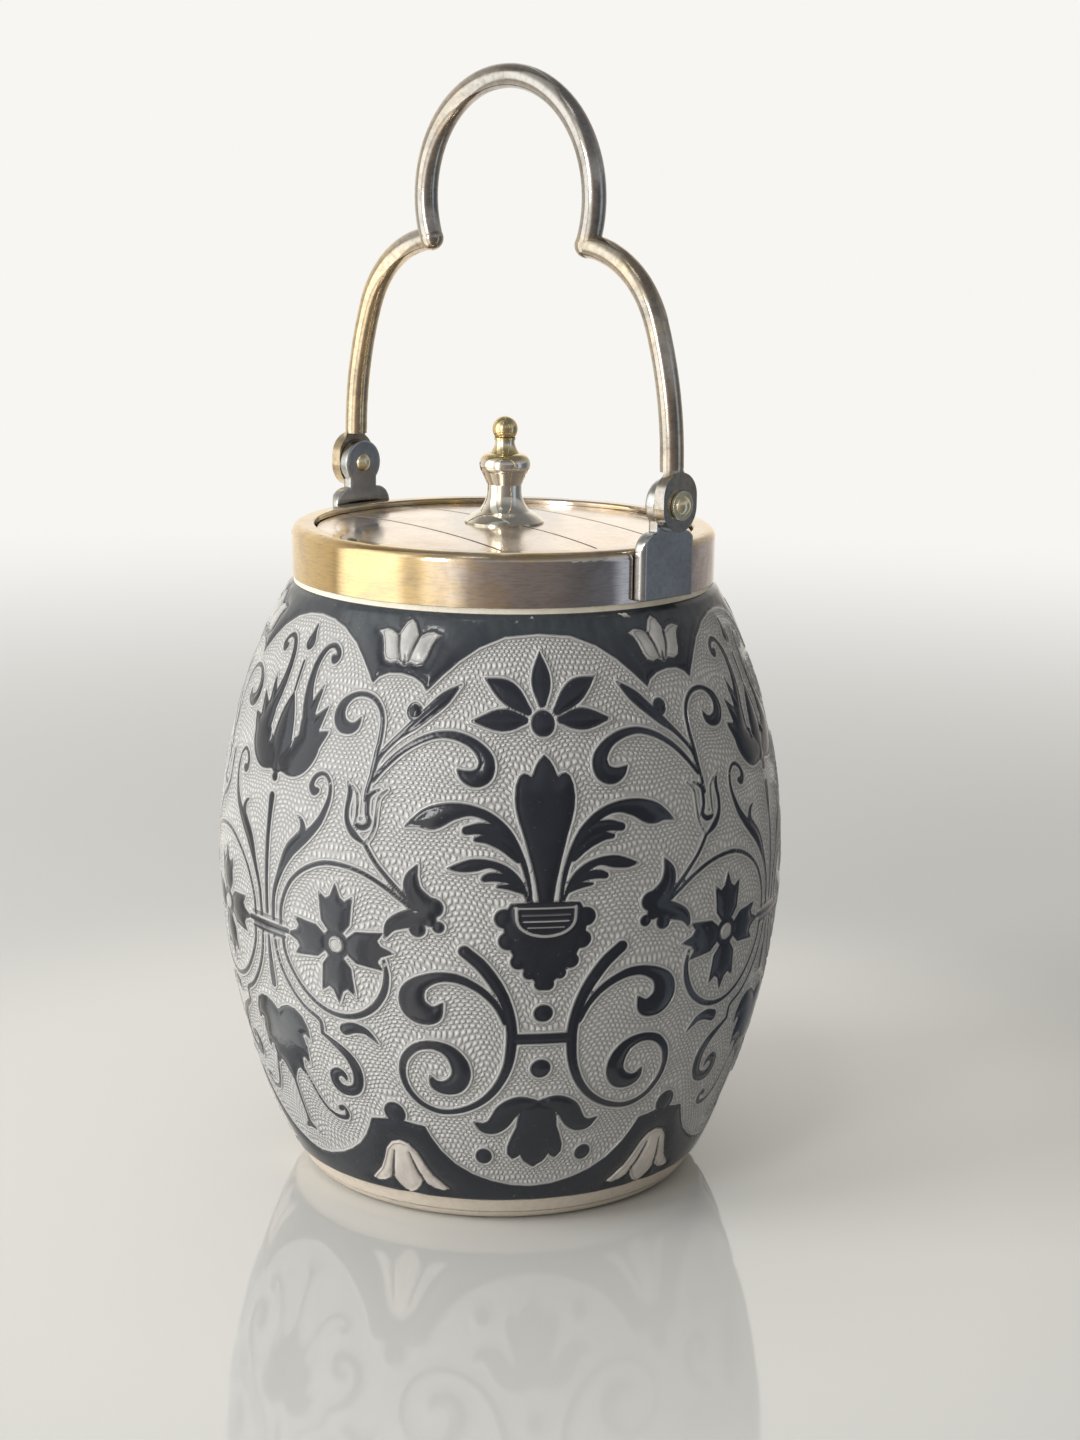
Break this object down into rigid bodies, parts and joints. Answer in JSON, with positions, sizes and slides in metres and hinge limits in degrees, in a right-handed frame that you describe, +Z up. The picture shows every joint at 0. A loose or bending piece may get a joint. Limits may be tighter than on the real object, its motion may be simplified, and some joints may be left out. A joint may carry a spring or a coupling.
{
  "type": "bonbon basket",
  "caption": "Barrel-shaped relief stoneware jar with a plated collar, a recessed lid with a turned finial, and a trefoil swing bail handle.",
  "frame": {"origin": "centre of the foot ring, on the table", "axes": "+Z up along the jar's axis, +X along the bail's pivot axis towards the right-hand lug, +Y towards the back"},
  "size_m": [0.132, 0.132, 0.2563],
  "materials": {
    "stoneware": "salt-glazed relief stoneware, grey ground with dark cobalt blue",
    "bedding": "matt cream plaster",
    "collar_plate": "worn silver plate with brassy tone, polished",
    "lug_plate": "tarnished silver plate",
    "rivet_brass": "pale brass",
    "bail_plate": "oxidised silver plate, bright on the edges",
    "lid_plate_silver": "polished silver plate",
    "finial_silver": "polished silver plate with brassy tone",
    "fastener_brass": "plain brass"
  },
  "bodies": {
    "jar_body": {"jar": "stoneware", "bedding_ring": "bedding", "collar": "collar_plate", "lug_left": "lug_plate", "lug_right": "lug_plate", "rivet_left": "rivet_brass", "rivet_right": "rivet_brass", "washer_left": "rivet_brass", "washer_right": "rivet_brass"},
    "bail": {"bail_handle": "bail_plate"},
    "lid": {"lid_plate": "lid_plate_silver", "lid_flange": "lid_plate_silver", "finial": "finial_silver", "finial_stud": "fastener_brass", "finial_washer": "fastener_brass", "finial_nut": "fastener_brass"}
  },
  "joints": [
    {"name": "bail_swing", "type": "hinge", "parent": "jar_body", "child": "bail", "pos_m": [0, 0, 0.1625], "axis": [1, 0, 0], "range_deg": [-115, 115]},
    {"name": "lid_lift", "type": "slide", "parent": "jar_body", "child": "lid", "axis": [0, 0, 1], "range_m": [0, 0.04]}
  ]
}
